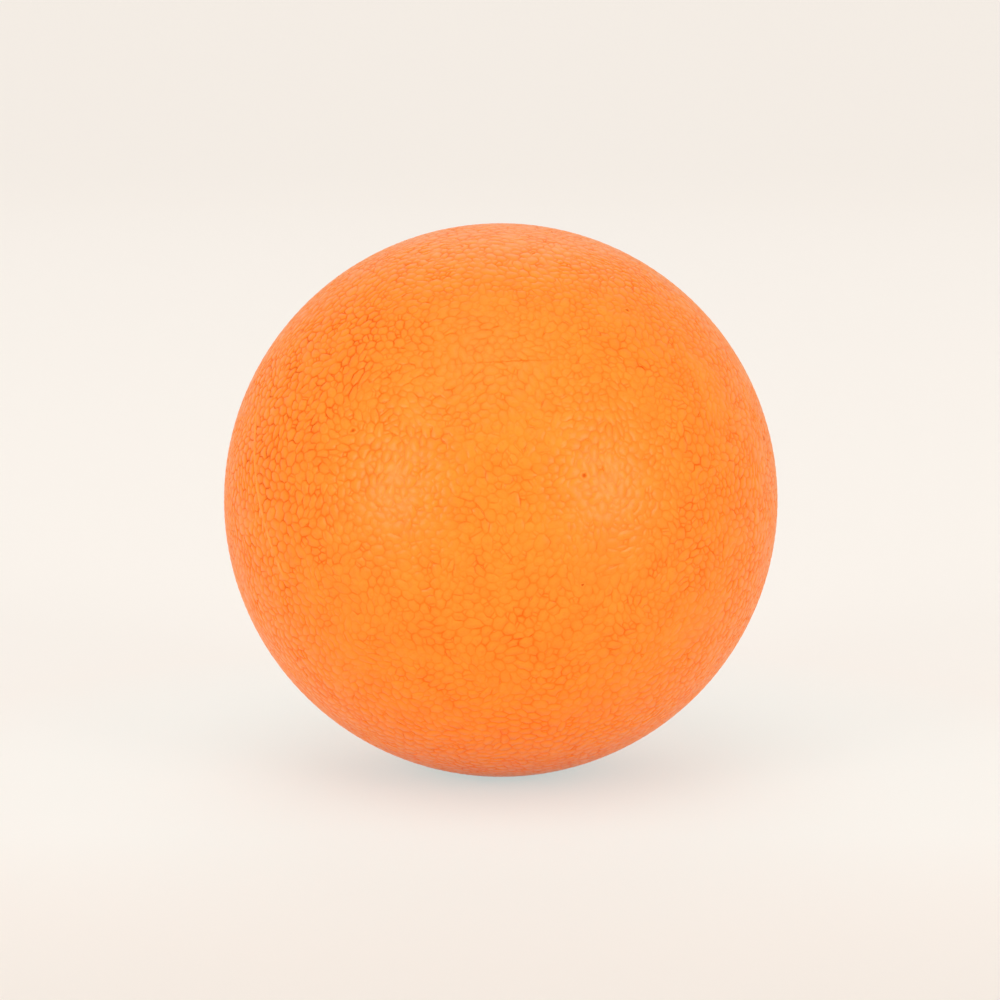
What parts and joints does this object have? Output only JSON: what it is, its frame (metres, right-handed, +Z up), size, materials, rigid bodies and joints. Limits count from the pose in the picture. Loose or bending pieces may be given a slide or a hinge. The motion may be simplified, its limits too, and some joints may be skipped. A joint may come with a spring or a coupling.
{
  "type": "foot massage ball",
  "caption": "Round foot massage ball: a firm core in a soft grained orange cover whose half cups lap and are bonded at a raised seam, for rolling under the sole.",
  "frame": {"origin": "centre of the ball", "axes": "+Z up, square to the spot that the ball rests on; -Y is the side that the picture shows; +X to its right"},
  "size_m": [0.063, 0.063, 0.0629],
  "materials": {
    "core": "matte",
    "cover": "satin"
  },
  "bodies": {
    "root": {"core": "core", "cover_front": "cover", "cover_rear": "cover", "seam_bead": "cover"}
  },
  "joints": []
}
